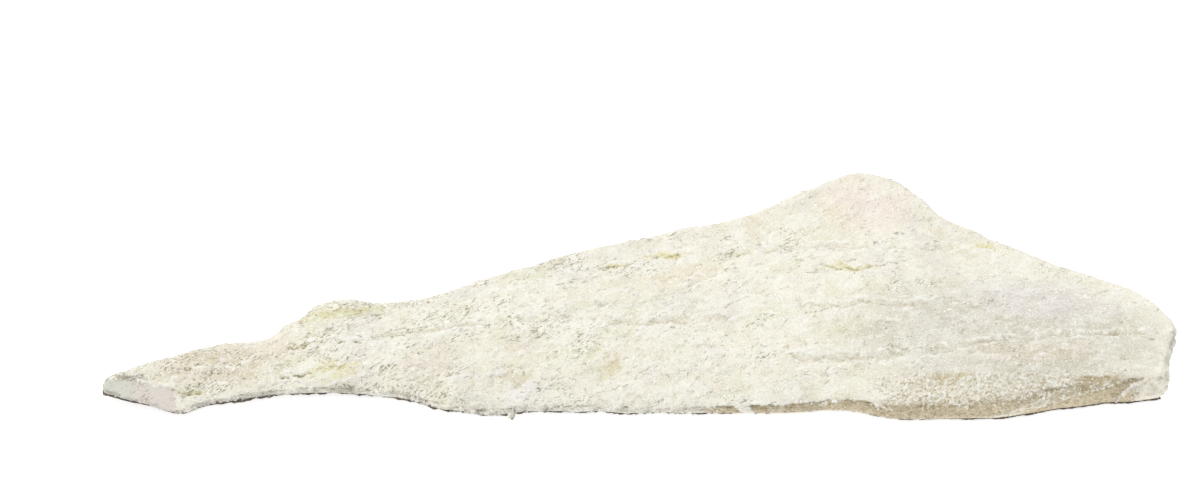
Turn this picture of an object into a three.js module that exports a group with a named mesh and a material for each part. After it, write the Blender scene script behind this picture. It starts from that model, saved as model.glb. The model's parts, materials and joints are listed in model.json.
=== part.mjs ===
// Salted dried cod fillet: one side of a cod, split off the backbone, salted and dried. It lies skin down.
// Millimetres, +Z up. +X runs from the tail to the head end, +Y from the thick back edge to the thin belly edge.
// The plan is a Coons patch between four edge curves. Two height maps over it give the flesh and the skin side,
// and a rounded wall joins them all the way round.
import * as THREE from "three";

// Plan outline, before the finished solid is centred. Each edge is a smooth curve through these points.
const BACK_EDGE = [ // the thick side, where the fillet was cut along the backbone, tail to head
  [-250, 10], [-230, 5], [-213, 1], [-202, 6], [-174, 11], [-145, 12.5], [-113, 10], [-98, 6], [-84, 2.5],
  [-66, 1], [-48, 3.5], [-7, 2], [25, 2.5], [60, 1.5], [93, 2.5], [115, -2], [168, -0.5], [199, 5.5], [239, 10],
];
const BELLY_EDGE = [ // the thin flap, with its notch near the tail and its corner over the belly, tail to head
  [-248, 19.5], [-224, 30.5], [-198, 40.5], [-175, 43.5], [-169, 51.5], [-162, 54.5], [-155, 62.5], [-138, 67],
  [-126, 64.5], [-108, 66], [-79, 77], [-34, 92.5], [4, 103.5], [48, 114.5], [84, 133], [104, 140.5],
  [119, 137.5], [129, 129], [141, 115.5], [163, 102], [193, 86], [230, 68],
];
const TAIL_END = [[-250, 10], [-250.5, 15], [-248, 19.5]];
const HEAD_END = [[239, 10], [240, 21], [244.5, 32], [246.5, 42], [240.5, 52], [230, 68]];

// Thickness of the flesh in mm at stations along the length, from the tail (0) to the head end (1), for the
// five lines that run lengthwise. ACROSS says where each line lies, from the back edge (0) to the belly edge (1).
const ACROSS = [0, 0.2, 0.46, 0.76, 1];
const THICKNESS = [
  { along: 0.0, lines: [3.0, 3.5, 4.0, 3.5, 2.5] },
  { along: 0.1, lines: [4.0, 6.0, 7.0, 5.5, 3.0] },
  { along: 0.24, lines: [4.5, 8.5, 10.0, 7.0, 3.0] },
  { along: 0.4, lines: [6.0, 11.5, 13.0, 8.5, 3.0] },
  { along: 0.6, lines: [8.5, 16.5, 15.5, 8.0, 3.0] },
  { along: 0.72, lines: [14.0, 21.5, 17.0, 7.5, 3.0] },
  { along: 0.82, lines: [18.0, 24.0, 18.0, 8.5, 3.5] },
  { along: 0.91, lines: [20.5, 25.0, 18.5, 10.5, 4.5] },
  { along: 1.0, lines: [22.5, 23.0, 19.0, 15.0, 8.0] },
];

// The groove between the back muscle and the belly muscle, in plan. It deepens from the middle to the head end.
const GROOVE_LINE = [[40, 30], [75, 28], [130, 28], [165, 35], [230, 38], [252, 39]];
const GROOVE = { depth: 1.8, halfWidth: 3.2, start: 40, full: 90 };

// Relief of the dried flesh: long ridges that follow the muscle, and rounder lumps. Each has the length, width
// and height of one swell, and a shift that sets the two patterns apart.
const RIDGES = { length: 62, width: 8.5, height: 0.9, shift: 0 };
const LUMPS = { length: 21, width: 15, height: 0.7, shift: 31 };
const RELIEF_AT_RIM = 0.4; // share of the relief left at the long edges
const RIM_SHARE = 0.1; // share of the width over which it grows to the full relief

// Where the skin side leaves the table: under the tail, along a stretch of the back edge, and round the rim.
const TAIL_LIFT = { height: 5.5, from: -250, to: -180, bend: 1.5 };
const BACK_LIFT = { height: 1.6, at: -150, half: 45, reach: 0.5 };
const RIM_CURL = { height: 1.1, width: 11 };

// Unevenness of the torn long edges, which dies out at their two ends.
const TEAR = { amount: 0.9, length: 13, backRow: 0.5, bellyRow: 7.5, fade: 0.03 };

const STATIONS = 100; // cells along the length
const STRIPS = 18; // cells across
const WALL_RINGS = [0.3, 0.74]; // where the wall stands on the outline, as shares of the thickness
const ROUNDING = { ofThickness: 0.28, most: 3.5, ofCell: 0.4 }; // how far the wall leans in at its top and foot
const ARC_STEPS = 800; // samples used to measure a curve's length
const GROOVE_POINTS = 120;

const lerp = THREE.MathUtils.lerp;
const clamp = THREE.MathUtils.clamp;
const smooth = (x, low, high) => THREE.MathUtils.smoothstep(x, low, high);

function curveThrough(points) {
  const knots = points.map(([x, y]) => new THREE.Vector3(x, y, 0));
  const curve = new THREE.CatmullRomCurve3(knots, false, "centripetal");
  curve.arcLengthDivisions = ARC_STEPS;
  return curve;
}

// A repeatable number from 0 to 1 for a point of the integer grid: the fraction left by a large sine.
function scatter(i, j) {
  const s = Math.sin(i * 127.1 + j * 311.7) * 43758.5453;
  return s - Math.floor(s);
}

// Smooth noise from -1 to 1, with features about one unit across.
function noise(x, y) {
  const i = Math.floor(x);
  const j = Math.floor(y);
  const fx = smooth(x - i, 0, 1);
  const fy = smooth(y - j, 0, 1);
  const low = lerp(scatter(i, j), scatter(i + 1, j), fx);
  const high = lerp(scatter(i, j + 1), scatter(i + 1, j + 1), fx);
  return 2 * lerp(low, high, fy) - 1;
}

// An edge curve at share t of its length, moved sideways by the tear and left alone at its two ends.
function tornPoint(curve, t, row) {
  const point = curve.getPointAt(t);
  const along = t * curve.getLength();
  const tangent = curve.getTangentAt(t);
  const held = smooth(t, 0, TEAR.fade) * (1 - smooth(t, 1 - TEAR.fade, 1));
  const tear = TEAR.amount * held * noise(along / TEAR.length, row);
  return new THREE.Vector3(point.x - tangent.y * tear, point.y + tangent.x * tear, 0);
}

const backEdge = curveThrough(BACK_EDGE);
const bellyEdge = curveThrough(BELLY_EDGE);
const tailEnd = curveThrough(TAIL_END);
const headEnd = curveThrough(HEAD_END);
const groove = curveThrough(GROOVE_LINE).getSpacedPoints(GROOVE_POINTS);

// The plan point at share u of the length and share v of the width.
function planPoint(u, v) {
  const sides = tornPoint(backEdge, u, TEAR.backRow).lerp(tornPoint(bellyEdge, u, TEAR.bellyRow), v);
  const ends = tailEnd.getPointAt(v).lerp(headEnd.getPointAt(v), u);
  const tail = tailEnd.getPointAt(0).lerp(tailEnd.getPointAt(1), v);
  const head = headEnd.getPointAt(0).lerp(headEnd.getPointAt(1), v);
  return sides.add(ends).sub(tail.lerp(head, u));
}

// A smooth value between the rows of a table, where rows holds [place, value] in rising order of place.
function between(rows, place) {
  const last = rows.length - 2;
  const above = rows.findIndex(([at]) => at > place);
  const k = above < 0 ? last : clamp(above - 1, 0, last);
  const slope = (n) => {
    const a = rows[Math.max(n - 1, 0)];
    const b = rows[Math.min(n + 1, rows.length - 1)];
    return (b[1] - a[1]) / (b[0] - a[0]);
  };
  const [x0, y0] = rows[k];
  const [x1, y1] = rows[k + 1];
  const step = x1 - x0;
  const t = clamp((place - x0) / step, 0, 1);
  const rise = 3 * t * t - 2 * t * t * t;
  const leave = t - 2 * t * t + t * t * t;
  const arrive = t * t * t - t * t;
  return y0 + (y1 - y0) * rise + step * (slope(k) * leave + slope(k + 1) * arrive);
}

function fleshThickness(u, v) {
  const lines = ACROSS.map((across, n) => [across, between(THICKNESS.map((s) => [s.along, s.lines[n]]), u)]);
  return between(lines, v);
}

function grooveDepth(p) {
  const reach = Math.min(...groove.map((g) => g.distanceTo(p)));
  return GROOVE.depth * smooth(p.x, GROOVE.start, GROOVE.full) * Math.exp(-((reach / GROOVE.halfWidth) ** 2));
}

function swell(pattern, p) {
  return pattern.height * noise(p.x / pattern.length + pattern.shift, p.y / pattern.width + pattern.shift);
}

// How far the flesh stands above or below its even thickness. It is weaker at the long edges.
function relief(p, v) {
  const inside = smooth(Math.min(v, 1 - v), 0, RIM_SHARE);
  return (swell(RIDGES, p) + swell(LUMPS, p)) * lerp(RELIEF_AT_RIM, 1, inside) - grooveDepth(p);
}

// Distance in plan from a point to the nearest edge.
function rimDistance(u, v, p) {
  const toBack = p.distanceTo(planPoint(u, 0));
  const toBelly = p.distanceTo(planPoint(u, 1));
  const toEnds = Math.min(p.distanceTo(planPoint(0, v)), p.distanceTo(planPoint(1, v)));
  return Math.min(toBack, toBelly, toEnds);
}

// Height of the skin side above the table. It is exactly flat under most of the fillet.
function skinHeight(u, v, p) {
  const tail = TAIL_LIFT.height * (1 - smooth(p.x, TAIL_LIFT.from, TAIL_LIFT.to)) ** TAIL_LIFT.bend;
  const bow = Math.max(0, 1 - ((p.x - BACK_LIFT.at) / BACK_LIFT.half) ** 2);
  const back = BACK_LIFT.height * bow * (1 - smooth(v, 0, BACK_LIFT.reach));
  const curl = RIM_CURL.height * Math.max(0, 1 - rimDistance(u, v, p) / RIM_CURL.width) ** 2;
  return tail + back + curl;
}

// The grid of plan points, with the height of the skin side and of the flesh at each.
function surveyGrid() {
  const grid = [];
  for (let i = 0; i <= STATIONS; i++) {
    const row = [];
    for (let j = 0; j <= STRIPS; j++) {
      const u = i / STATIONS;
      const v = j / STRIPS;
      const plan = planPoint(u, v);
      const foot = skinHeight(u, v, plan);
      row.push({ plan, foot, top: foot + fleshThickness(u, v) + relief(plan, v) });
    }
    grid.push(row);
  }
  return grid;
}

// The grid cells round the rim, anticlockwise seen from above, each as [station, strip].
function rimCells() {
  const cells = [];
  for (let i = 0; i < STATIONS; i++) cells.push([i, 0]);
  for (let j = 0; j < STRIPS; j++) cells.push([STATIONS, j]);
  for (let i = STATIONS; i > 0; i--) cells.push([i, STRIPS]);
  for (let j = STRIPS; j > 0; j--) cells.push([0, j]);
  return cells;
}

// How far a rim cell's top and foot are drawn in from the outline, as a vector in plan.
function drawIn(grid, [i, j]) {
  const inward = grid[clamp(i, 1, STATIONS - 1)][clamp(j, 1, STRIPS - 1)].plan.clone().sub(grid[i][j].plan);
  const thickness = grid[i][j].top - grid[i][j].foot;
  const wanted = Math.min(ROUNDING.ofThickness * thickness, ROUNDING.most, ROUNDING.ofCell * inward.length());
  return inward.setLength(wanted);
}

function filletGeometry() {
  const grid = surveyGrid();
  const positions = [];
  const triangles = [];
  const addPoint = (x, y, z) => positions.push(x, y, z) / 3 - 1;
  const addQuad = (a, b, c, d) => triangles.push(a, b, c, a, c, d);

  const rim = rimCells();
  const inset = new Map(rim.map((cell) => [cell.join(), drawIn(grid, cell)]));
  const addSheet = (height) => grid.map((row, i) => row.map((point, j) => {
    const shift = inset.get([i, j].join());
    const at = shift ? point.plan.clone().add(shift) : point.plan;
    return addPoint(at.x, at.y, point[height]);
  }));
  const flesh = addSheet("top");
  const skin = addSheet("foot");
  for (let i = 0; i < STATIONS; i++) {
    for (let j = 0; j < STRIPS; j++) {
      addQuad(flesh[i][j], flesh[i + 1][j], flesh[i + 1][j + 1], flesh[i][j + 1]);
      addQuad(skin[i][j], skin[i][j + 1], skin[i + 1][j + 1], skin[i + 1][j]);
    }
  }

  // The wall: rings on the true outline, between the drawn-in rims of the skin and the flesh.
  const rings = WALL_RINGS.map((share) => rim.map(([i, j]) => {
    const { plan, foot, top } = grid[i][j];
    return addPoint(plan.x, plan.y, lerp(foot, top, share));
  }));
  const rimOf = (sheet) => rim.map(([i, j]) => sheet[i][j]);
  const levels = [rimOf(skin), ...rings, rimOf(flesh)];
  levels.slice(1).forEach((upper, n) => {
    const lower = levels[n];
    rim.forEach((_, k) => {
      const next = (k + 1) % rim.length;
      addQuad(lower[k], lower[next], upper[next], upper[k]);
    });
  });

  const geometry = new THREE.BufferGeometry();
  geometry.setAttribute("position", new THREE.Float32BufferAttribute(positions, 3));
  geometry.setIndex(triangles);
  return geometry;
}

// Moves the solid so that the middle of its box is over the origin and its lowest point is on z = 0.
function standOnOrigin(geometry) {
  geometry.computeBoundingBox();
  const { min, max } = geometry.boundingBox;
  geometry.translate(-(min.x + max.x) / 2, -(min.y + max.y) / 2, -min.z);
  geometry.computeVertexNormals();
  return geometry;
}

function makeFillet() {
  const saltedFlesh = new THREE.MeshStandardMaterial({ color: "#ece7d4", roughness: 0.92, metalness: 0 });
  const fillet = new THREE.Mesh(standOnOrigin(filletGeometry()), saltedFlesh);
  fillet.name = "fillet";
  return fillet;
}

const cod = new THREE.Group();
cod.add(makeFillet());

export default cod;
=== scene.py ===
"""Visual model of a salted dried cod fillet, built round its CAD solid.

The pieces are the salted flesh, the dried skin under it, and what clings to them: crumbs of salt crust,
coarse salt grains, loose flesh fibres and torn shreds along the edges.
"""

import json
import math

import bpy
from bpy.props import FloatProperty, FloatVectorProperty, PointerProperty
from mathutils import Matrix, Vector

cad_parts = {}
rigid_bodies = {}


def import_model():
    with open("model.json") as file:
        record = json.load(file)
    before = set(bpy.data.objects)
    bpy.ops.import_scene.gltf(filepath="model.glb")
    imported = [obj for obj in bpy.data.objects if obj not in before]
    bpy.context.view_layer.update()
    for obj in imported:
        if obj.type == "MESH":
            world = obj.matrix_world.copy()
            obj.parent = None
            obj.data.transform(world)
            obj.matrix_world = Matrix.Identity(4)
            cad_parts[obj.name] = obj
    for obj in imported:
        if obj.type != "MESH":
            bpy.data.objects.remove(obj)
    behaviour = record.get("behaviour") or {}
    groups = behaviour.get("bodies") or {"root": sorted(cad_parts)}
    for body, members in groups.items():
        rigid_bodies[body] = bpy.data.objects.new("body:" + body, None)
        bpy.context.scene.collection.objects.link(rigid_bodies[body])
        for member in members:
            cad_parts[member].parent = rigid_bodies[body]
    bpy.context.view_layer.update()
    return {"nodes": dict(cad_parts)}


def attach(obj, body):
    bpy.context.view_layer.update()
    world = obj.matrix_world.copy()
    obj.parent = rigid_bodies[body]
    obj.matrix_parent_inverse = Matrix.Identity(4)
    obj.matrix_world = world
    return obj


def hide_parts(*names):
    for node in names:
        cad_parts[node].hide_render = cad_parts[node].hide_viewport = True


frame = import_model()

bl_info = {
    "name": "Salted dried cod",
    "version": (1, 0, 0),
    "blender": (4, 5, 0),
    "location": "3D View > Sidebar > Cod",
    "description": "Builds the flesh, skin, salt and fibres of a salted dried cod fillet",
    "category": "Object",
}

MM = 0.001

# Cracks and folds of the flesh in plan, as points in mm, and how far to each side they reach.
CRACK_REACH = 0.7 * MM
FOLD_REACH = 3.0 * MM
CRACKS = [
    [(85, 11), (93, 7.5), (101, 7), (110, 8), (120, 10.5)],
    [(-19, 12.5), (-12, 13), (-5, 15)],
    [(5, 19.5), (12, 19.5), (19, 21)],
    [(226, -33.5), (231, -35.5), (236, -36)],
    [(-216, -57.5), (-209, -58.5), (-202, -57.5)],
    [(-166, -50.3), (-161, -50.4), (-157, -49), (-152.5, -48.2)],
    [(-164.5, -34), (-158, -33), (-152.5, -31.8)],
    [(-141, -33.2), (-137.5, -31.8)],
    [(-133, -31.2), (-128.5, -31.9)],
    [(158, -39.5), (164, -38), (171, -37)],
    [(195, -34.8), (207, -33.6), (219, -32.4)],
]
FOLDS = [
    [(71, -45), (90, -46.5), (127, -46), (150, -41), (165, -37.5), (200, -34), (227, -31.5), (250, -31)],
    [(-19, -12), (9, -7), (22, -1), (34, 7.5)],
    [(74, -15.5), (90, -17), (106, -15), (124, -17), (143, -16)],
    [(60, 22), (80, 24), (105, 22), (130, 21), (150, 24)],
    [(-120, -28), (-80, -22), (-40, -20), (0, -24), (40, -22)],
]

# Soft patches of colour on the flesh: middle and half size in plan in mm, turn in degrees, colour, strength.
STAINS = {
    "rose flesh of the tail": ((-192, -40), (46, 15), 14, "#ddd0b8", 0.75),
    "green tinge at the notch": ((-143, -13), (27, 4.5), 10, "#dbd6a6", 0.9),
    "yellow fat near the tail": ((-141, -47), (17, 5), 10, "#dcd59c", 0.8),
    "yellow crack of the tail": ((-207, -58), (10, 2.2), 0, "#cbbd78", 0.7),
    "dark flecks of the tail": ((-235, -51), (10, 1.8), -4, "#8f8a78", 0.85),
    "rose left of the middle": ((-100, -44), (24, 10), 20, "#e4d8c8", 0.5),
    # Dark olive under the crust's overhang at the near edge: olive flesh and painted shade.
    "olive under the crust, first": ((-151, -56.8), (9, 1.8), 0, "#8e8058", 0.9),
    "olive under the crust, second": ((-137, -55.2), (7, 1.6), 4, "#857a56", 0.9),
    "ochre hollow by the tuft": ((-57, -52.5), (14, 3.6), 8, "#cfc491", 0.6),
    "ochre hollow of the middle": ((-14, -47.5), (7, 6), 40, "#d4ca98", 0.55),
    "tan hollow of the middle": ((10, -41), (6, 5), 0, "#d9ccab", 0.5),
    "grey membrane by the tuft": ((-77, -63), (13, 4), -6, "#cdcabd", 0.8),
    "white top of the tuft": ((-56, -60), (10, 5), 10, "#f6f1ec", 0.95),
    "white lump": ((5, -52), (5, 3.4), 0, "#f5eee8", 0.9),
    "first yellow slit": ((-11, 14), (9, 2.0), 10, "#ddd382", 0.85),
    "second yellow slit": ((12, 20), (12, 2.4), 2, "#dccf72", 0.9),
    "faint yellow past the slits": ((49, 20), (9, 2.5), 0, "#dcd49a", 0.5),
    "warm patch above the fold": ((20, 6), (28, 8), 16, "#eadcc0", 0.5),
    "grey streak of the middle": ((-8, -13), (42, 4.5), 3, "#d6d6c4", 0.45),
    "yellow of the long crack": ((96, 8.5), (19, 2.2), -3, "#dbd08e", 0.7),
    "yellow crumb at the rim": ((164, 24), (10, 2.4), -14, "#e3d99a", 0.85),
    "rose belly": ((108, 50), (27, 21), -20, "#f0dfd5", 0.5),
    "ochre spot of the belly": ((93, 44), (7, 9), 0, "#e6d8b4", 0.4),
    "green tinge of the loin": ((96, -32), (22, 6), 2, "#d8d4ae", 0.5),
    "grey of the thick loin": ((170, -36), (90, 38), -3, "#ccc6b7", 0.85),
    "cold loin": ((188, -12), (46, 16), -8, "#dcd5d2", 0.7),
    "warm loin": ((180, -46), (34, 8), 4, "#dacdb9", 0.55),
    "ochre of the loin": ((141, -58), (13, 3.6), 4, "#c9bc8a", 0.6),
    # Painted light: the wall by the head is painted pale and warm, partly its own tone and partly to make up
    # for the shade on this upright wall.
    "pale wall by the head": ((238, -62), (17, 6), 0, "#f6ecd9", 0.95),
    "pale strand": ((223, -65), (12, 7), 0, "#f8f2e6", 0.95),
    "olive shoulder": ((208, -61), (15, 3.6), 6, "#a38e58", 0.95),
}

# Torn shreds of crust and flesh: what each is, both ends in mm and the width in mm.
SHREDS = [
    ("flap of the tuft", (-64, -62.5, 5.2), (-51, -60.8, 6.4), 5.0),
    ("tip of the tuft", (-60, -63, 4.8), (-59.5, -68, 3.2), 3.6),
    ("ragged tuft", (-66, -64, 4.5), (-68, -66.5, 3.6), 2.4),
    ("ragged membrane", (-85, -62.0, 4.2), (-70, -64.4, 3.8), 4.2),
    ("pale strand, low", (217.5, -62.8, 7.5), (219, -63, 12), 2.0),
    ("pale strand, middle", (219, -63, 12), (223, -62.8, 19), 2.3),
    ("pale strand, top", (222, -63, 19), (230, -61, 23), 2.4),
    ("tip of the bare side", (40, -62.8, 9), (33, -65, 6.8), 1.3),
]

# Where the salt crust hangs down over the bare side: place along x and half width in mm, and lean.
CRUST_TONGUES = [(156, 14, 2.5), (238, 21, 0.5), (52, 4, -0.8)]

# Where the skin's side line runs, less the noise that makes it wavy, in mm along Y.
SIDE_LINE = -9.0

# Passes of smoothing that round the edges of the flesh.
ROUNDING = 24

# Height in mm over which a soft patch of colour is the same: far more than the fillet's thickness.
FLAT = 1000

# The point that the camera looks at and the width of the floor, in metres.
AIM = (-0.019, 0.0315, 0.0)
FLOOR_WIDTH = 12.0

# How far the floor lies under the skin, so that the two don't touch.
FLOOR_DROP = 0.2 * MM

# Turn of the key light about X and Y, and its width seen from the fillet, in degrees.
KEY_TURN = (-8, -22)
KEY_WIDTH = 18

# Width of the camera's sensor in mm.
SENSOR_WIDTH = 36

# Short names for the kinds of node that come up most.
MATH = "ShaderNodeMath"
VECTOR = "ShaderNodeVectorMath"
MAP = "ShaderNodeMapRange"
MIX = "ShaderNodeMix"
NOISE = "ShaderNodeTexNoise"
SPLIT = "ShaderNodeSeparateXYZ"


def linear(code):
    """The linear colour of an sRGB hex value."""
    parts = [int(code[place:place + 2], 16) / 255 for place in (1, 3, 5)]
    return [part / 12.92 if part <= 0.04045 else ((part + 0.055) / 1.055) ** 2.4 for part in parts]


def rgba(colour):
    return (*colour, 1.0)


def length_value(name, description, mm):
    """A size that a user can change, given in mm."""
    return FloatProperty(name=name, description=description, default=mm * MM, unit="LENGTH")


def colour_value(name, description, code):
    """A colour that a user can change, given as an sRGB hex value."""
    return FloatVectorProperty(name=name, description=description, default=linear(code), subtype="COLOR")


class CodSizes(bpy.types.PropertyGroup):
    surface_step: length_value("Surface step", "Spacing of the points on the flesh", 0.8)
    skin_thickness: length_value("Skin", "Thickness of the dried skin", 0.7)
    skin_flare: length_value("Skin flare", "How far the skin stands out under the flesh", 0.5)
    crust: length_value("Salt crust", "Step down from the salt crust to the bare side", 1.1)
    mounds: length_value("Mounds", "Height of the cottony mounds", 0.6)
    clumps: length_value("Clumps", "Height of the clumps on the mounds", 0.25)
    granules: length_value("Granules", "Height of the crust granules", 0.5)
    strokes: length_value("Strokes", "Height of the muscle strokes", 0.8)
    patches: length_value("Patches", "Extra thickness of the crust in patches", 0.4)
    pits: length_value("Pits", "Depth of the pits", 0.45)
    crack: length_value("Cracks", "Depth of the cracks", 1.1)
    fold: length_value("Folds", "Depth of the soft folds", 1.1)
    tear: length_value("Torn edge", "How far the torn edges run in and out", 5.5)
    crumb: length_value("Crumb", "Width of the largest crust crumb", 2.0)
    grain: length_value("Salt grain", "Side of the largest salt grain", 0.8)
    fibre: length_value("Fibre", "Length of the longest loose fibre", 7.0)


class CodColours(bpy.types.PropertyGroup):
    cream: colour_value("Cream", "Dry flesh", "#efebdb")
    salt_white: colour_value("Salt white", "Flesh under dry salt", "#f7f6ee")
    greenish: colour_value("Greenish", "Faint green tinge of dried flesh", "#e3e2c6")
    # Dark nicks; the same colour paints the shade in the floors of the cracks.
    nick: colour_value("Nicks", "Short dark nicks between the flakes", "#8f866b")
    # Painted shade: the far rim, which faces away from the camera, is painted a darker cold grey, as if
    # turned away from the light.
    rim: colour_value("Far rim", "Thin cold edge of the belly side", "#d6d5d2")
    film_end: colour_value("Membrane end", "Green-grey end of the membrane at the tail", "#d2d5c7")
    # Painted shade: the dark under the overhanging crust at the torn edge.
    undercut_shade: colour_value("Undercut", "Dark hollows under the crust at the torn edge", "#5d5540")
    beige: colour_value("Beige", "Flesh with little salt on it", "#e0d6bd")
    lavender: colour_value("Lavender", "Cold grey flesh of the loin and the membrane", "#dfd8d1")
    # Painted shade: this colour darkens the creases and pits; it also tints darker grains in the stipple.
    hollow: colour_value("Hollow", "Bottom of the creases and pits", "#ab9c76")
    fat: colour_value("Fat", "Yellowed fat in slits and under the rim", "#d8cd86")
    bare: colour_value("Bare side", "Tan cut side that the salt has left bare", "#ddd0b4")
    bare_dark: colour_value("Bare side, dark", "Dark fibres of the cut side", "#a28e68")
    # Partly painted shade: the olive below the crust stands in for its shade as well as for olive flesh.
    olive: colour_value("Olive", "Top of the bare side, under the crust", "#a3946b")
    skin: colour_value("Skin", "Dried skin", "#43352a")
    skin_warm: colour_value("Skin, warm", "Brown blotches of the skin", "#6b5238")
    skin_edge: colour_value("Skin, dark", "Edges of the scale pockets", "#2e261e")
    skin_pale: colour_value("Skin, pale", "Salt-dusted parts of the skin", "#8b8474")
    salt: colour_value("Salt", "Salt grains", "#f6f4ee")
    salt_milky: colour_value("Salt, milky", "Cloudy salt grains", "#e9e6dc")


class CodStage(bpy.types.PropertyGroup):
    distance: FloatProperty(
        name="Distance", description="From the camera to the point it looks at", default=1.6, unit="LENGTH")
    elevation: FloatProperty(
        name="Elevation", description="Height of the camera as an angle", default=math.radians(55),
        subtype="ANGLE", unit="ROTATION")
    lens: FloatProperty(name="Lens", description="Focal length in mm", default=100.8, unit="CAMERA")
    sky: FloatProperty(name="Sky", description="Strength of the white surroundings", default=0.62)
    key: FloatProperty(name="Key", description="Strength of the soft key light", default=2.3)
    floor_glow: FloatProperty(
        name="Floor glow", description="Light that the backlit floor gives off", default=0.7)


def add(tree, kind, inputs=(), **settings):
    """Adds one node with its settings, and links or sets its inputs, by name or in their order."""
    node = tree.nodes.new(kind)
    for name, value in settings.items():
        setattr(node, name, value)
    live = [socket for socket in node.inputs if socket.enabled]
    named = isinstance(inputs, dict)
    pairs = inputs.items() if named else enumerate(inputs)
    for place, value in pairs:
        socket = node.inputs[place] if named else live[place]
        if isinstance(value, bpy.types.Node):
            value = next(output for output in value.outputs if output.enabled)
        if isinstance(value, bpy.types.NodeSocket):
            tree.links.new(value, socket)
        elif value is not None:
            socket.default_value = value
    return node


def select_only(*pieces):
    for piece in bpy.context.view_layer.objects:
        piece.select_set(False)
    for piece in pieces:
        piece.select_set(True)
    bpy.context.view_layer.objects.active = pieces[0]


def solid_copy(name):
    """A merged copy of the CAD solid, selected and active."""
    source = frame["nodes"]["fillet"]
    piece = bpy.data.objects.new(name, source.data.copy())
    piece.data.name = name
    bpy.context.scene.collection.objects.link(piece)
    select_only(piece)
    bpy.ops.object.mode_set(mode="EDIT")
    bpy.ops.mesh.select_all(action="SELECT")
    bpy.ops.mesh.remove_doubles(threshold=0.001 * MM)
    bpy.ops.object.mode_set(mode="OBJECT")
    return piece


def edit_faces(piece, test):
    """Goes to edit mode with only the faces selected that the test picks."""
    select_only(piece)
    bpy.ops.object.mode_set(mode="EDIT")
    bpy.ops.mesh.select_mode(type="FACE")
    bpy.ops.mesh.select_all(action="DESELECT")
    bpy.ops.object.mode_set(mode="OBJECT")
    for face in piece.data.polygons:
        face.select = test(face)
    bpy.ops.object.mode_set(mode="EDIT")


def apply_nodes(piece, tree):
    modifier = piece.modifiers.new(tree.name, "NODES")
    modifier.node_group = tree
    select_only(piece)
    bpy.ops.object.modifier_apply(modifier=modifier.name)


def geometry_tree(name):
    """A node group that takes a geometry and gives one. Returns the tree and its two end nodes."""
    tree = bpy.data.node_groups.new(name, "GeometryNodeTree")
    tree.interface.new_socket("Geometry", in_out="INPUT", socket_type="NodeSocketGeometry")
    tree.interface.new_socket("Geometry", in_out="OUTPUT", socket_type="NodeSocketGeometry")
    return tree, tree.nodes.new("NodeGroupInput"), tree.nodes.new("NodeGroupOutput")


def line_guide(name, lines):
    """A helper that holds lines in plan at height 0, in metres."""
    vertices = []
    edges = []
    for line in lines:
        start = len(vertices)
        vertices += [(x * MM, y * MM, 0) for x, y in line]
        edges += [(start + n, start + n + 1) for n in range(len(line) - 1)]
    mesh = bpy.data.meshes.new(name)
    mesh.from_pydata(vertices, edges, [])
    guide = bpy.data.objects.new(name, mesh)
    bpy.context.scene.collection.objects.link(guide)
    return guide


def finish_piece(piece, material):
    piece.data.materials.clear()
    piece.data.materials.append(material)
    select_only(piece)
    bpy.ops.object.shade_smooth()
    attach(piece, "root")


def zone(tree, *limits):
    """How far a point is inside all limits, from 0 to 1: each a value, its start and where it is full."""
    inside = 1.0
    for value, start, full in limits:
        share = add(tree, MAP, {"Value": value, "From Min": start, "From Max": full},
                    interpolation_type="SMOOTHSTEP")
        inside = add(tree, MATH, [share, inside], operation="MULTIPLY")
    return inside


def laid_over(tree, colour, layers):
    """The colour under layers: each a mark, where it starts and is full, its strength and its colour."""
    for mark, start, full, strength, over in layers:
        share = add(tree, MAP, {
            "Value": mark, "From Min": start, "From Max": full, "To Max": strength},
            interpolation_type="SMOOTHSTEP")
        colour = add(tree, MIX, [share, colour, rgba(over)], data_type="RGBA")
    return colour


def along_fibres(tree, mm, turn, length, width):
    """Coordinates in which one unit is a fibre's length along it and its width across. Turn in degrees."""
    turned = add(tree, "ShaderNodeVectorRotate", {"Vector": mm, "Angle": -math.radians(turn)},
                 rotation_type="Z_AXIS")
    return add(tree, VECTOR, [turned, (1 / length, 1 / width, 1 / width)], operation="MULTIPLY")


def off_middle(tree, value, middle):
    """How far a value is from a middle one, above or below it."""
    centred = add(tree, MATH, [value, middle], operation="SUBTRACT")
    return add(tree, MATH, [centred], operation="ABSOLUTE")


def cotton(tree, place, roughness):
    """Mounds from 0 to 1 with sharp creases between them."""
    swell = add(tree, NOISE, {"Vector": place, "Scale": 1.0, "Detail": 2.0, "Roughness": roughness})
    return add(tree, MATH, [off_middle(tree, swell, 0.5), 4.0], operation="MULTIPLY", use_clamp=True)


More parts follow.
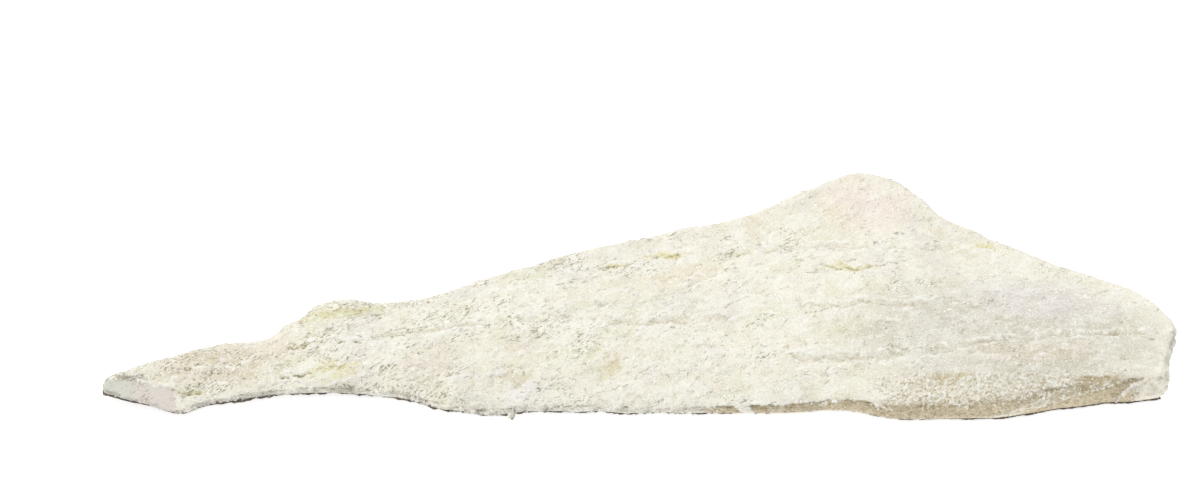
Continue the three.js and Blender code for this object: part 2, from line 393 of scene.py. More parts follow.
def side_marks(tree, mm, up, back):
    """Marks of the upright sides, from 0 to 1.

    They say how bare of salt a point is, how far it is on the thick side and how high there, how far it is
    on the thin near wall and in the dark band low on it that is painted shade under the overhanging crust,
    and how far it is on the far rim, which is painted shade.
    """
    xyz = add(tree, SPLIT, [mm])
    x, y, z = xyz.outputs["X"], xyz.outputs["Y"], xyz.outputs["Z"]
    wall_top = add(tree, MAP, {
        "Value": x, "From Min": 20.0, "From Max": 240.0, "To Min": 6.5, "To Max": 24.0})
    height_share = add(tree, MATH, [z, wall_top], operation="DIVIDE")
    drift = add(tree, NOISE, {"Vector": mm, "Scale": 0.07, "Detail": 2.0, "Roughness": 0.5})
    fringe = add(tree, NOISE, {"Vector": mm, "Scale": 0.6, "Detail": 5.0, "Roughness": 0.85})
    line = add(tree, MATH, [drift, 0.9, height_share], operation="MULTIPLY_ADD")
    line = add(tree, MATH, [fringe, 2.2, line], operation="MULTIPLY_ADD")
    for at, half, lean in CRUST_TONGUES:
        leaning = add(tree, MATH, [z, -lean, x], operation="MULTIPLY_ADD")
        hang = zone(tree, (off_middle(tree, leaning, at), 1.2 * half, 0.3 * half))
        line = add(tree, MATH, [line, hang], operation="ADD")
    wall = zone(tree, (line, 2.6, 2.34), (back, -0.2, -0.42), (up, 0.72, 0.55), (x, 18.0, 44.0))

    # Over the middle of the bare side the crust is thin, and the tan flesh shows through it in small spots.
    spots = add(tree, NOISE, {"Vector": mm, "Scale": 0.8, "Detail": 4.0, "Roughness": 0.8})
    worn = zone(tree, (y, -50.0, -61.0), (x, 84.0, 120.0), (x, 216.0, 198.0), (spots, 0.44, 0.56))
    faint = add(tree, MATH, [worn, 0.62], operation="MULTIPLY")
    side = zone(tree, (back, -0.15, -0.5), (up, 0.95, 0.6), (x, 40.0, 90.0), (x, 228.0, 216.0))
    # The far rim, which the material paints darker: painted shade of the side turned away from the light.
    rim = zone(tree, (back, -0.05, 0.3), (up, 0.85, 0.55), (x, 225.0, 205.0))

    # The thin near wall of the tail half, with painted shade low down in dark patches, where the crust
    # overhangs.
    near_wall = zone(tree, (back, -0.15, -0.45), (up, 0.6, 0.3), (x, 30.0, 5.0))
    hollows = zone(tree, (z, 3.4, 2.2), (fringe, 0.47, 0.53))
    undercut = add(tree, MATH, [near_wall, hollows], operation="MULTIPLY")
    bare = add(tree, MATH, [wall, faint], operation="MAXIMUM")
    return {"bare": bare, "side": side, "height_share": height_share, "near_wall": near_wall,
            "undercut": undercut, "rim": rim}


def near_lines(tree, place, guides):
    """For each guide, how near each point is in plan to its lines, from 0 to 1 on the line itself."""
    torn = add(tree, NOISE, {"Vector": place, "Scale": 260.0, "Detail": 3.0})
    centred = add(tree, VECTOR, [torn.outputs["Color"], (0.5, 0.5, 0.5)], operation="SUBTRACT")
    flat = add(tree, VECTOR, [place, (1, 1, 0)], operation="MULTIPLY")
    shifted = add(tree, VECTOR, [centred, (6 * MM, 6 * MM, 0), flat], operation="MULTIPLY_ADD")
    shares = []
    for guide, half_width in guides:
        lines = add(tree, "GeometryNodeObjectInfo", {"Object": guide}, transform_space="ORIGINAL")
        near = add(tree, "GeometryNodeProximity", {0: lines.outputs["Geometry"]}, target_element="EDGES")
        tree.links.new(shifted.outputs[0], next(socket for socket in near.inputs if socket.type == "VECTOR"))
        shares.append(zone(tree, (near.outputs["Distance"], half_width, 0.0)))
    return shares


def flesh_relief(sizes, cracks, folds):
    """The node group that turns the smooth solid into salted flesh, and marks its crevices and bare side."""
    tree, start, end = geometry_tree("Salted flesh relief")
    place = add(tree, "GeometryNodeInputPosition")
    mm = add(tree, VECTOR, [place, 1000.0], operation="SCALE")
    xyz = add(tree, SPLIT, [mm])
    x, y = xyz.outputs["X"], xyz.outputs["Y"]
    normal = add(tree, "GeometryNodeInputNormal")
    soft = add(tree, "GeometryNodeBlurAttribute", {"Iterations": 8}, data_type="FLOAT_VECTOR")
    tree.links.new(normal.outputs[0], next(s for s in soft.inputs if s.enabled and s.type == "VECTOR"))
    soft_normal = add(tree, VECTOR, [soft], operation="NORMALIZE")
    facing = add(tree, SPLIT, [soft_normal])
    up, back = facing.outputs["Z"], facing.outputs["Y"]
    sides = side_marks(tree, mm, up, back)
    bare = sides["bare"]

    # The smooth membrane on the front half of the tail end.
    wander = add(tree, NOISE, {"Vector": mm, "Scale": 0.35, "Detail": 4.0, "Roughness": 0.75})
    membrane_x = add(tree, MATH, [wander, 6.0, x], operation="MULTIPLY_ADD")
    slanted_y = add(tree, MATH, [x, 0.17, y], operation="MULTIPLY_ADD")
    membrane_y = add(tree, MATH, [wander, 9.0, slanted_y], operation="MULTIPLY_ADD")
    membrane = zone(tree, (membrane_x, -209.5, -212.0), (membrane_y, -88.0, -89.6))

    # Cottony mounds, clumps and granules of the salted surface.
    mounds = cotton(tree, along_fibres(tree, mm, 14, 17.0, 10.0), 0.45)
    clumps = cotton(tree, along_fibres(tree, mm, 24, 5.5, 3.4), 0.55)
    granules = add(tree, NOISE, {"Vector": mm, "Scale": 0.45, "Detail": 4.0, "Roughness": 0.8})

    # Patches where the crust lies thicker, with ragged edges.
    layers = add(tree, NOISE, {
        "Vector": along_fibres(tree, mm, 10, 26.0, 13.0), "Scale": 1.0, "Detail": 6.0, "Roughness": 0.68})
    crusted = zone(tree, (layers, 0.485, 0.525))

    # Muscle strokes: slanted across the middle of the fillet, lengthwise towards the head.
    slanted = add(tree, NOISE, {
        "Vector": along_fibres(tree, mm, 38, 14.0, 2.6), "Scale": 1.0, "Detail": 2.0})
    lengthwise = add(tree, NOISE, {
        "Vector": along_fibres(tree, mm, 3, 34.0, 5.0), "Scale": 1.0, "Detail": 4.0, "Roughness": 0.6})
    slanted_share = zone(tree, (x, -190.0, -130.0), (x, 60.0, -10.0))
    strokes = add(tree, MIX, [slanted_share, lengthwise, slanted], data_type="FLOAT")

    # Pits where the salt has drawn the flesh together, in loose clusters away from the head.
    holes = add(tree, NOISE, {"Vector": mm, "Scale": 0.5, "Detail": 2.0, "Roughness": 0.6})
    clusters = add(tree, NOISE, {"Vector": mm, "Scale": 0.06, "Detail": 2.0})
    pits = zone(tree, (holes, 0.6, 0.74), (clusters, 0.42, 0.6), (x, 120.0, -20.0))
    crack, fold = near_lines(tree, place, ((cracks, CRACK_REACH), (folds, FOLD_REACH)))

    # The relief is coarser towards the tail, finer at the head, and less than half as high on the membrane.
    coarse_tail = add(tree, MAP, {
        "Value": x, "From Min": -190.0, "From Max": 20.0, "To Min": 1.1, "To Max": 1.0})
    fine_head = add(tree, MAP, {
        "Value": x, "From Min": 20.0, "From Max": 150.0, "To Min": 1.0, "To Max": 0.85})
    calm = add(tree, MAP, {"Value": membrane, "To Min": 1.0, "To Max": 0.45})
    on_bare = add(tree, MAP, {"Value": bare, "To Min": 1.0, "To Max": 0.6})
    salted = -0.5
    for part, height in ((mounds, sizes.mounds), (clumps, sizes.clumps), (granules, sizes.granules),
                         (strokes, sizes.strokes), (crusted, sizes.patches), (pits, -sizes.pits)):
        salted = add(tree, MATH, [part, height / MM, salted], operation="MULTIPLY_ADD")
    for share in (coarse_tail, fine_head, calm, on_bare):
        salted = add(tree, MATH, [salted, share], operation="MULTIPLY")

    # The edges are torn: their upright sides run in and out unevenly.
    tear = add(tree, NOISE, {"Vector": mm, "Scale": 0.22, "Detail": 5.0, "Roughness": 0.75})
    bulge = add(tree, NOISE, {"Vector": mm, "Scale": 0.06, "Detail": 2.0})
    both = add(tree, MATH, [bulge, 1.1, tear], operation="MULTIPLY_ADD")
    tear_out = add(tree, MATH, [both, 1.07], operation="SUBTRACT")
    near_side = add(tree, MAP, {
        "Value": back, "From Min": 0.2, "From Max": -0.2, "To Min": 0.4, "To Max": 1.0})
    torn_side = add(tree, MATH, [zone(tree, (up, 0.8, 0.4)), near_side], operation="MULTIPLY")
    torn_edge = add(tree, MATH, [tear_out, torn_side], operation="MULTIPLY")
    height = add(tree, MATH, [salted, 1.0], operation="SUBTRACT")
    crust_step = add(tree, MAP, {
        "Value": x, "From Min": 60.0, "From Max": 100.0, "To Min": 1.0, "To Max": 0.4})
    dropped = add(tree, MATH, [bare, crust_step], operation="MULTIPLY")
    for part, rise in ((dropped, -sizes.crust), (crack, -sizes.crack), (fold, -sizes.fold),
                       (membrane, -0.2 * MM), (torn_edge, sizes.tear)):
        height = add(tree, MATH, [part, rise / MM, height], operation="MULTIPLY_ADD")

    # No relief under the rim, and the underside is drawn in to make room for the skin.
    on_flesh = add(tree, MATH, [height, zone(tree, (up, -0.45, 0.0))], operation="MULTIPLY")
    under = zone(tree, (up, -0.5, -0.85))
    lift = add(tree, MATH, [under, -sizes.skin_thickness / MM, on_flesh], operation="MULTIPLY_ADD")
    lift_metres = add(tree, MATH, [lift, MM], operation="MULTIPLY")
    offset = add(tree, VECTOR, [soft_normal, lift_metres], operation="SCALE")

    # How far each point lies below the surface around it: from this the material paints shade into the
    # crevices and light onto the tops.
    around = add(tree, "GeometryNodeBlurAttribute", {"Iterations": 10}, data_type="FLOAT")
    tree.links.new(height.outputs[0], next(s for s in around.inputs if s.enabled and s.name == "Value"))
    hollow = add(tree, MATH, [around, height], operation="SUBTRACT")
    geometry = start.outputs[0]
    marks = {"hollow": hollow, "crack": crack, "membrane": membrane, "crusted": crusted, **sides}
    for name, value in marks.items():
        store = add(tree, "GeometryNodeStoreNamedAttribute", {
            "Geometry": geometry, "Name": name, "Value": value}, data_type="FLOAT", domain="POINT")
        geometry = store.outputs[0]
    moved = add(tree, "GeometryNodeSetPosition", {"Geometry": geometry, "Offset": offset})
    tree.links.new(moved.outputs[0], end.inputs[0])
    return tree


def stained(tree, mm, colour):
    """The colour with every soft patch of STAINS laid over it."""
    warp = add(tree, NOISE, {"Vector": mm, "Scale": 0.12, "Detail": 4.0, "Roughness": 0.65})
    centred = add(tree, VECTOR, [warp.outputs["Color"], (0.5, 0.5, 0.5)], operation="SUBTRACT")
    shifted = add(tree, VECTOR, [centred, (14, 14, 0), mm], operation="MULTIPLY_ADD")
    layers = []
    for middle, half_size, turn, code, share in STAINS.values():
        local = add(tree, "ShaderNodeMapping", {
            "Vector": shifted,
            "Location": (*middle, 0),
            "Rotation": (0, 0, math.radians(turn)),
            "Scale": (*half_size, FLAT)}, vector_type="TEXTURE")
        reach = add(tree, VECTOR, [local], operation="LENGTH")
        layers.append((reach.outputs["Value"], 1.15, 0.35, share, linear(code)))
    return laid_over(tree, colour, layers)


def new_material(name):
    """An empty node material. Returns it, its tree and the place on the piece in mm."""
    material = bpy.data.materials.new(name)
    material.use_nodes = True
    tree = material.node_tree
    tree.nodes.clear()
    place = add(tree, "ShaderNodeTexCoord")
    return material, tree, add(tree, VECTOR, [place.outputs["Object"], 1000.0], operation="SCALE")


# Marks that the relief leaves on the flesh for its material.
MARKS = (
    "hollow", "crack", "membrane", "crusted", "bare", "side", "height_share", "near_wall", "undercut", "rim")


def flesh_material(colours):
    """Salted dried cod flesh: matt, cream to white, yellow in its slits, tan where the cut side is bare."""
    material, tree, mm = new_material("Salted_dried_flesh")
    marks = {name: add(tree, "ShaderNodeAttribute", attribute_name=name).outputs["Fac"] for name in MARKS}
    wide = add(tree, NOISE, {"Vector": mm, "Scale": 0.05, "Detail": 4.0, "Roughness": 0.65})
    tinges = add(tree, "ShaderNodeSeparateColor", [wide.outputs["Color"]])
    patches = add(tree, NOISE, {"Vector": mm, "Scale": 0.2, "Detail": 6.0, "Roughness": 0.75})
    # Salt grains are a third of a millimetre; twice that shows at this distance. They gather in drifts.
    grains = add(tree, NOISE, {"Vector": mm, "Scale": 1.45, "Detail": 3.0, "Roughness": 0.75})
    drifts = add(tree, NOISE, {"Vector": mm, "Scale": 0.13, "Detail": 3.0})
    stipple = add(tree, MATH, [drifts, 0.25, grains], operation="MULTIPLY_ADD")

    # Nicks: slanted dashes half a millimetre wide, and edges of flakes, which both gather in drifts.
    gathered = add(tree, NOISE, {
        "Vector": along_fibres(tree, mm, 22, 24.0, 11.0), "Scale": 1.0, "Detail": 4.0, "Roughness": 0.65})
    along = add(tree, SPLIT, [mm])
    towards_tail = add(tree, MATH, [along.outputs["X"], -0.0004, gathered], operation="MULTIPLY_ADD")
    fine = add(tree, NOISE, {"Vector": along_fibres(tree, mm, 36, 2.6, 0.8), "Scale": 1.0, "Detail": 2.0})
    dashes = zone(tree, (fine, 0.54, 0.64), (towards_tail, 0.49, 0.67))
    paths = add(tree, NOISE, {"Vector": along_fibres(tree, mm, 20, 8.0, 3.2), "Scale": 1.0, "Detail": 3.0})
    breaks = add(tree, NOISE, {"Vector": mm, "Scale": 0.3, "Detail": 3.0, "Roughness": 0.7})
    off_path = off_middle(tree, paths, 0.5)
    flakes = zone(tree, (off_path, 0.03, 0.006), (breaks, 0.5, 0.58), (towards_tail, 0.44, 0.58))

    # Cream flesh, beige where the salt is thin and white where it is thick.
    colour = laid_over(tree, rgba(colours.cream), [
        (tinges.outputs["Red"], 0.5, 0.34, 0.4, colours.beige),
        (tinges.outputs["Green"], 0.5, 0.66, 0.6, colours.greenish),
        (tinges.outputs["Blue"], 0.5, 0.66, 0.5, colours.lavender)])
    colour = stained(tree, mm, colour)
    colour = laid_over(tree, colour, [
        (marks["side"], 0.0, 1.0, 0.6, colours.bare),
        (marks["crusted"], 0.0, 1.0, 0.25, colours.salt_white),
        (patches, 0.46, 0.68, 0.35, colours.salt_white),
        # Painted shade and light: crevices hold less salt and are painted darker, which also stands in for
        # the shade in them; the raised tops are painted white, partly salt dust and partly painted light.
        (marks["hollow"], 0.1, 0.6, 0.4, colours.hollow),
        (marks["hollow"], -0.06, -0.35, 0.8, colours.salt_white),
        (stipple, 0.585, 0.41, 0.55, colours.hollow),
        (stipple, 0.63, 0.77, 0.9, colours.salt_white),
        (dashes, 0.0, 1.0, 0.7, colours.nick),
        (flakes, 0.0, 1.0, 0.75, colours.nick),
        # Painted light: the thin near wall is painted whiter to lift the shade it stands in.
        (marks["near_wall"], 0.0, 1.0, 0.2, colours.salt_white),
        # Painted shade: dark patches low on the thin near wall, under the overhanging crust.
        (marks["undercut"], 0.0, 1.0, 0.9, colours.undercut_shade),
        # Painted shade on the far rim.
        (marks["rim"], 0.0, 1.0, 0.75, colours.rim)])

    # The bare side: tan, with darker dried fibres, olive under the crust, partly painted shade of the
    # crust's edge, and a dusting of salt.
    streaks = add(tree, NOISE, {
        "Vector": along_fibres(tree, mm, 20, 1.8, 0.9), "Scale": 1.0, "Detail": 4.0, "Roughness": 0.75})
    dust = add(tree, NOISE, {"Vector": mm, "Scale": 0.9, "Detail": 4.0, "Roughness": 0.8})
    side = laid_over(tree, rgba(colours.bare_dark), [
        (streaks, 0.34, 0.56, 1.0, colours.bare),
        # Darker olive near the top of the bare side: olive flesh and painted shade under the crust's edge.
        (marks["height_share"], 0.45, 0.95, 0.35, colours.olive),
        (dust, 0.52, 0.62, 0.6, colours.salt_white)])
    # Single fibres stick out over the line between the crust and the bare side.
    stray = add(tree, NOISE, {"Vector": along_fibres(tree, mm, 55, 2.4, 0.7), "Scale": 1.0, "Detail": 2.0})
    ragged = add(tree, MATH, [stray, 0.9, marks["bare"]], operation="MULTIPLY_ADD")
    colour = add(tree, MIX, [zone(tree, (ragged, 0.68, 1.15)), colour, side], data_type="RGBA")

    # The membrane: cold and pale, with white salt and a few dark flecks on it, and painted shade along its
    # lower edge.
    film = laid_over(tree, rgba(colours.lavender), [
        (along.outputs["X"], -228.0, -242.0, 0.9, colours.film_end),
        (patches, 0.5, 0.7, 0.4, colours.salt_white),
        (stipple, 0.585, 0.41, 0.35, colours.hollow),
        (dashes, 0.0, 1.0, 0.6, colours.nick),
        # Painted shade along the membrane's lower edge.
        (marks["undercut"], 0.0, 1.0, 0.8, colours.undercut_shade)])
    colour = add(tree, MIX, [marks["membrane"], colour, film], data_type="RGBA")
    colour = laid_over(tree, colour, [
        (marks["crack"], 0.05, 0.5, 0.2, colours.fat),
        # Painted shade: the floors of the cracks are painted dark.
        (marks["crack"], 0.4, 0.9, 0.85, colours.nick)])

    # The grain of the crust, over its coarser granules.
    grain = add(tree, NOISE, {"Vector": mm, "Scale": 1.3, "Detail": 4.0, "Roughness": 0.8})
    bump = add(tree, "ShaderNodeBump", {"Strength": 1.0, "Distance": 0.75 * MM, "Height": grain})
    surface = add(tree, "ShaderNodeBsdfPrincipled", {
        "Base Color": colour, "Roughness": 0.9, "Normal": bump, "Specular IOR Level": 0.25,
        "Subsurface Weight": 0.1, "Subsurface Radius": (1.0, 0.9, 0.8), "Subsurface Scale": 1.0 * MM})
    add(tree, "ShaderNodeOutputMaterial", {"Surface": surface})
    return material


def skin_material(colours):
    """Dried fish skin: tough and grey-brown, with small scale pockets, a pale side line and salt dust."""
    material, tree, mm = new_material("Dried_fish_skin")
    blotches = add(tree, NOISE, {"Vector": mm, "Scale": 0.09, "Detail": 5.0, "Roughness": 0.65})
    patches = add(tree, NOISE, {"Vector": mm, "Scale": 0.2, "Detail": 4.0, "Roughness": 0.6})
    crystals = add(tree, NOISE, {"Vector": mm, "Scale": 0.8, "Detail": 3.0, "Roughness": 0.7})
    # Scale pockets, about 2.4 mm long and 1.6 mm wide.
    pockets = add(tree, "ShaderNodeTexVoronoi", {
        "Vector": along_fibres(tree, mm, 5, 2.4, 1.6), "Scale": 1.0}, feature="SMOOTH_F1")
    # The side line runs lengthwise through the middle of the skin.
    sway = add(tree, NOISE, {"Vector": mm, "Scale": 0.02, "Detail": 2.0})
    level = add(tree, SPLIT, [mm])
    wavy = add(tree, MATH, [sway, 30.0, level.outputs["Y"]], operation="MULTIPLY_ADD")
    colour = laid_over(tree, rgba(colours.skin), [
        (blotches, 0.45, 0.65, 0.6, colours.skin_warm),
        (patches, 0.5, 0.75, 0.8, colours.skin_pale),
        (off_middle(tree, wavy, SIDE_LINE), 1.6, 0.5, 0.7, colours.skin_pale),
        (pockets.outputs["Distance"], 0.35, 0.75, 0.5, colours.skin_edge),
        (crystals, 0.58, 0.68, 0.8, colours.salt_white)])
    wrinkles = add(tree, NOISE, {"Vector": along_fibres(tree, mm, 0, 9.0, 2.0), "Scale": 1.0, "Detail": 3.0})
    height = add(tree, MATH, [wrinkles, 1.4, pockets.outputs["Distance"]], operation="MULTIPLY_ADD")
    bump = add(tree, "ShaderNodeBump", {"Strength": 0.7, "Distance": 0.5 * MM, "Height": height})
    surface = add(tree, "ShaderNodeBsdfPrincipled", {
        "Base Color": colour, "Roughness": 0.55, "Normal": bump})
    add(tree, "ShaderNodeOutputMaterial", {"Surface": surface})
    return material


def salt_material(colours):
    """Coarse sea salt: small clear to milky crystals with bright faces."""
    material, tree, mm = new_material("Coarse_sea_salt")
    cloud = add(tree, NOISE, {"Vector": mm, "Scale": 0.9, "Detail": 2.0})
    colour = laid_over(tree, rgba(colours.salt_milky), [(cloud, 0.3, 0.7, 1.0, colours.salt)])
    surface = add(tree, "ShaderNodeBsdfPrincipled", {
        "Base Color": colour, "Roughness": 0.35, "IOR": 1.54, "Subsurface Weight": 0.3,
        "Subsurface Radius": (1.0, 1.0, 1.0), "Subsurface Scale": 0.5 * MM})
    add(tree, "ShaderNodeOutputMaterial", {"Surface": surface})
    return material


class COD_OT_flesh(bpy.types.Operator):
    """Builds the salted flesh from a copy of the CAD solid."""
    bl_idname = "cod.flesh"
    bl_label = "Salted flesh"

    def execute(self, context):
        sizes = context.scene.cod_sizes
        flesh = solid_copy("flesh")
        remesh = flesh.modifiers.new("Even surface", "REMESH")
        remesh.mode = "VOXEL"
        remesh.voxel_size = sizes.surface_step
        bpy.ops.object.modifier_apply(modifier=remesh.name)
        edit_faces(flesh, lambda face: face.normal.z > -0.4)
        bpy.ops.mesh.vertices_smooth(factor=0.5, repeat=ROUNDING)
        bpy.ops.object.mode_set(mode="OBJECT")
        edit_faces(flesh, lambda face: face.normal.z < -0.85)
        bpy.ops.mesh.decimate(ratio=0.04)
        bpy.ops.object.mode_set(mode="OBJECT")
        guides = [line_guide("crack_lines", CRACKS), line_guide("fold_lines", FOLDS)]
        apply_nodes(flesh, flesh_relief(sizes, *guides))
        for guide in guides:
            bpy.data.objects.remove(guide)
        finish_piece(flesh, flesh_material(context.scene.cod_colours))
        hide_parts("fillet")
        return {"FINISHED"}


def skin_flare(sizes):
    """The node group that flares the skin's rim out under the flesh in an uneven, broken line."""
    tree, start, end = geometry_tree("Skin flare")
    place = add(tree, "GeometryNodeInputPosition")
    mm = add(tree, VECTOR, [place, 1000.0], operation="SCALE")
    normal = add(tree, "GeometryNodeInputNormal")
    level = add(tree, VECTOR, [normal, (1, 1, 0)], operation="MULTIPLY")
    reach = add(tree, VECTOR, [level], operation="LENGTH")
    outward = add(tree, VECTOR, [level], operation="NORMALIZE")
    ragged = add(tree, NOISE, {"Vector": mm, "Scale": 0.13, "Detail": 6.0, "Roughness": 0.8})
    flare = add(tree, MAP, {
        "Value": ragged, "From Min": 0.4, "From Max": 0.62, "To Max": 2.4 * sizes.skin_flare},
        interpolation_type="SMOOTHSTEP")
    sides = add(tree, SPLIT, [outward])
    near_side = zone(tree, (sides.outputs["Y"], 0.0, -0.5))
    both = add(tree, MATH, [flare, 0.25 * MM], operation="ADD")
    amount = add(tree, MATH, [near_side, both], operation="MULTIPLY")
    along = add(tree, SPLIT, [mm])
    tight_head = add(tree, MAP, {
        "Value": along.outputs["X"], "From Min": 20.0, "From Max": 90.0, "To Min": 1.0, "To Max": 0.5})
    tight_tail = add(tree, MAP, {
        "Value": along.outputs["X"], "From Min": -205.0, "From Max": -190.0, "To Min": 0.2, "To Max": 1.0})
    tight = add(tree, MATH, [tight_head, tight_tail], operation="MULTIPLY")
    uneven = add(tree, MATH, [amount, tight], operation="MULTIPLY")
    at_rim = add(tree, MATH, [uneven, zone(tree, (reach.outputs["Value"], 0.25, 0.5))], operation="MULTIPLY")
    offset = add(tree, VECTOR, [outward, at_rim], operation="SCALE")
    moved = add(tree, "GeometryNodeSetPosition", {"Geometry": start.outputs[0], "Offset": offset})
    tree.links.new(moved.outputs[0], end.inputs[0])
    return tree


class COD_OT_skin(bpy.types.Operator):
    """Builds the dried skin under the flesh."""
    bl_idname = "cod.skin"
    bl_label = "Dried skin"

    def execute(self, context):
        sizes = context.scene.cod_sizes
        skin = solid_copy("skin")
        edit_faces(skin, lambda face: face.normal.z >= -0.8)
        bpy.ops.mesh.delete(type="FACE")
        bpy.ops.mesh.select_all(action="SELECT")
        bpy.ops.mesh.subdivide(number_cuts=3)
        bpy.ops.object.mode_set(mode="OBJECT")
        wall = skin.modifiers.new("Thickness", "SOLIDIFY")
        wall.thickness = sizes.skin_thickness
        wall.offset = -1.0
        bpy.ops.object.modifier_apply(modifier=wall.name)
        apply_nodes(skin, skin_flare(sizes))
        finish_piece(skin, skin_material(context.scene.cod_colours))
        return {"FINISHED"}


# Where small things cling to the flesh: each limit is a measure of it, its start and where it is full.
ON_TOP = (("up", -0.1, 0.3), ("bare", 1.0, 0.3), ("membrane", 0.5, 0.1), ("x", 420.0, -120.0))
ON_CRUST_AND_BARE = (("up", -0.2, 0.2), ("membrane", 0.9, 0.1))
ON_FRONT_EDGE = (
    ("up", 0.6, 0.3), ("up", -0.9, -0.5), ("back", 0.1, -0.3), ("x", 30.0, 0.0), ("membrane", 0.5, 0.1))
ON_ALL_EDGES = (("up", 0.6, 0.3), ("up", -0.7, -0.3), ("bare", 0.5, 0.1), ("membrane", 0.5, 0.1))

# Crumbs of the crust: piece, share of the largest crumb's width, share of its faces kept, where they cling,
# how many lie on a square centimetre, and the seed.
CRUMBS = [
    ("crust_crumbs_large", 0.8, 0.5, ON_TOP, 2.0, 11),
    ("crust_crumbs_small", 0.45, 0.25, ON_TOP, 14.0, 23),
    ("edge_crumbs_front", 0.8, 0.5, ON_FRONT_EDGE, 70.0, 31),
    ("edge_crumbs", 0.6, 0.5, ON_ALL_EDGES, 5.0, 37),
]


def scatter_tree(name, shape, where, per_cm2, seed, smallest, turned):
    """The node group that strews copies of a shape over the flesh and makes them real."""
    tree, _, end = geometry_tree(name)
    flesh = add(tree, "GeometryNodeObjectInfo", {"Object": bpy.data.objects["flesh"]},
                transform_space="ORIGINAL")
    facing = add(tree, SPLIT, [add(tree, "GeometryNodeInputNormal")])
    mm = add(tree, VECTOR, [add(tree, "GeometryNodeInputPosition"), 1000.0], operation="SCALE")
    along = add(tree, SPLIT, [mm])
    measures = {"up": facing.outputs["Z"], "back": facing.outputs["Y"], "x": along.outputs["X"]}
    for mark in ("bare", "membrane"):
        measures[mark] = add(tree, "GeometryNodeInputNamedAttribute", {"Name": mark}, data_type="FLOAT")
    share = zone(tree, *((measures[measure], start, full) for measure, start, full in where))
    density = add(tree, MATH, [share, per_cm2 * 1e4], operation="MULTIPLY")
    strewn = add(tree, "GeometryNodeDistributePointsOnFaces", {
        "Mesh": flesh.outputs["Geometry"], "Density": density, "Seed": seed}, distribute_method="RANDOM")
    low, high = turned
    rotation = add(tree, "FunctionNodeRandomValue", {0: low, 1: high, "Seed": seed},
                   data_type="FLOAT_VECTOR")
    chance = add(tree, "FunctionNodeRandomValue", {2: 0.0, 3: 1.0, "Seed": seed + 1}, data_type="FLOAT")
    rare = add(tree, MATH, [chance.outputs[1], 2.0], operation="POWER")
    size = add(tree, MAP, {"Value": rare, "To Min": smallest, "To Max": 1.0})
    model = add(tree, "GeometryNodeObjectInfo", {"Object": shape}, transform_space="ORIGINAL")
    copies = add(tree, "GeometryNodeInstanceOnPoints", {
        "Points": strewn.outputs["Points"], "Instance": model.outputs["Geometry"],
        "Rotation": rotation, "Scale": size})
    real = add(tree, "GeometryNodeRealizeInstances", {"Geometry": copies})
    tree.links.new(real.outputs[0], end.inputs[0])
    return tree


ANY_WAY = ((0, 0, 0), (2 * math.pi, 2 * math.pi, 2 * math.pi))
ALONG_THE_MUSCLE = ((-0.25, -0.25, -0.22), (0.25, 0.25, 0.98))


def strew(name, shape, where, per_cm2, seed, smallest=0.3, turned=ANY_WAY):
    """A new piece made of copies of a helper shape on the flesh. The helper is removed."""
    bpy.ops.mesh.primitive_plane_add(size=MM)
    piece = bpy.context.object
    piece.name = name
    piece.data.name = name
    apply_nodes(piece, scatter_tree(name.replace("_", " "), shape, where, per_cm2, seed, smallest, turned))
    bpy.data.objects.remove(shape)
    if not piece.data.polygons:
        raise RuntimeError(f"{name} came out empty")
    return piece


class COD_OT_crumbs(bpy.types.Operator):
    """Strews crumbs of the salt crust over the flesh and along its torn edges."""
    bl_idname = "cod.crumbs"
    bl_label = "Crust crumbs"

    def execute(self, context):
        sizes = context.scene.cod_sizes
        material = bpy.data.objects["flesh"].active_material
        for name, share, kept, where, per_cm2, seed in CRUMBS:
            width = share * sizes.crumb
            bpy.ops.mesh.primitive_ico_sphere_add(subdivisions=2, radius=width / 2)
            crumb = context.object
            bpy.ops.object.mode_set(mode="EDIT")
            bpy.ops.mesh.select_all(action="SELECT")
            bpy.ops.transform.vertex_random(offset=0.16 * width, uniform=1.0, seed=seed)
            bpy.ops.transform.resize(value=(1.0, 0.75, 0.55))
            bpy.ops.mesh.decimate(ratio=kept)
            bpy.ops.object.mode_set(mode="OBJECT")
            finish_piece(strew(name, crumb, where, per_cm2, seed), material)
        return {"FINISHED"}


class COD_OT_shreds(bpy.types.Operator):
    """Adds the torn shreds that hang from the crust and the edges."""
    bl_idname = "cod.shreds"
    bl_label = "Torn shreds"

    def execute(self, context):
        shreds = []
        for number, (_, start, end, width_mm) in enumerate(SHREDS):
            low, high = Vector(start) * MM, Vector(end) * MM
            width = width_mm * MM
            way = high - low
            turn = way.to_track_quat("X", "Z").to_euler()
            bpy.ops.mesh.primitive_ico_sphere_add(
                subdivisions=4, radius=0.5, location=(low + high) / 2, rotation=turn)
            piece = context.object
            piece.scale = (way.length + width, width, 0.55 * width)
            bpy.ops.object.transform_apply(location=True, rotation=True, scale=True)
            bpy.ops.object.mode_set(mode="EDIT")
            bpy.ops.mesh.select_all(action="SELECT")
            bpy.ops.transform.vertex_random(offset=0.07 * width, uniform=1.0, seed=number)
            bpy.ops.object.mode_set(mode="OBJECT")
            torn = piece.modifiers.new("Torn", "DISPLACE")
            torn.texture = bpy.data.textures.new("Torn", "CLOUDS")
            torn.texture.noise_scale = 1.2 * MM
            torn.texture_coords = "GLOBAL"
            torn.strength = 0.5 * width
            bpy.ops.object.modifier_apply(modifier=torn.name)
            shreds.append(piece)
        select_only(*shreds)
        bpy.ops.object.join()
        whole = context.object
        whole.name = "torn_shreds"
        whole.data.name = "torn_shreds"
        bpy.ops.object.transform_apply(location=True, rotation=True, scale=True)
        finish_piece(whole, bpy.data.objects["flesh"].active_material)
        return {"FINISHED"}


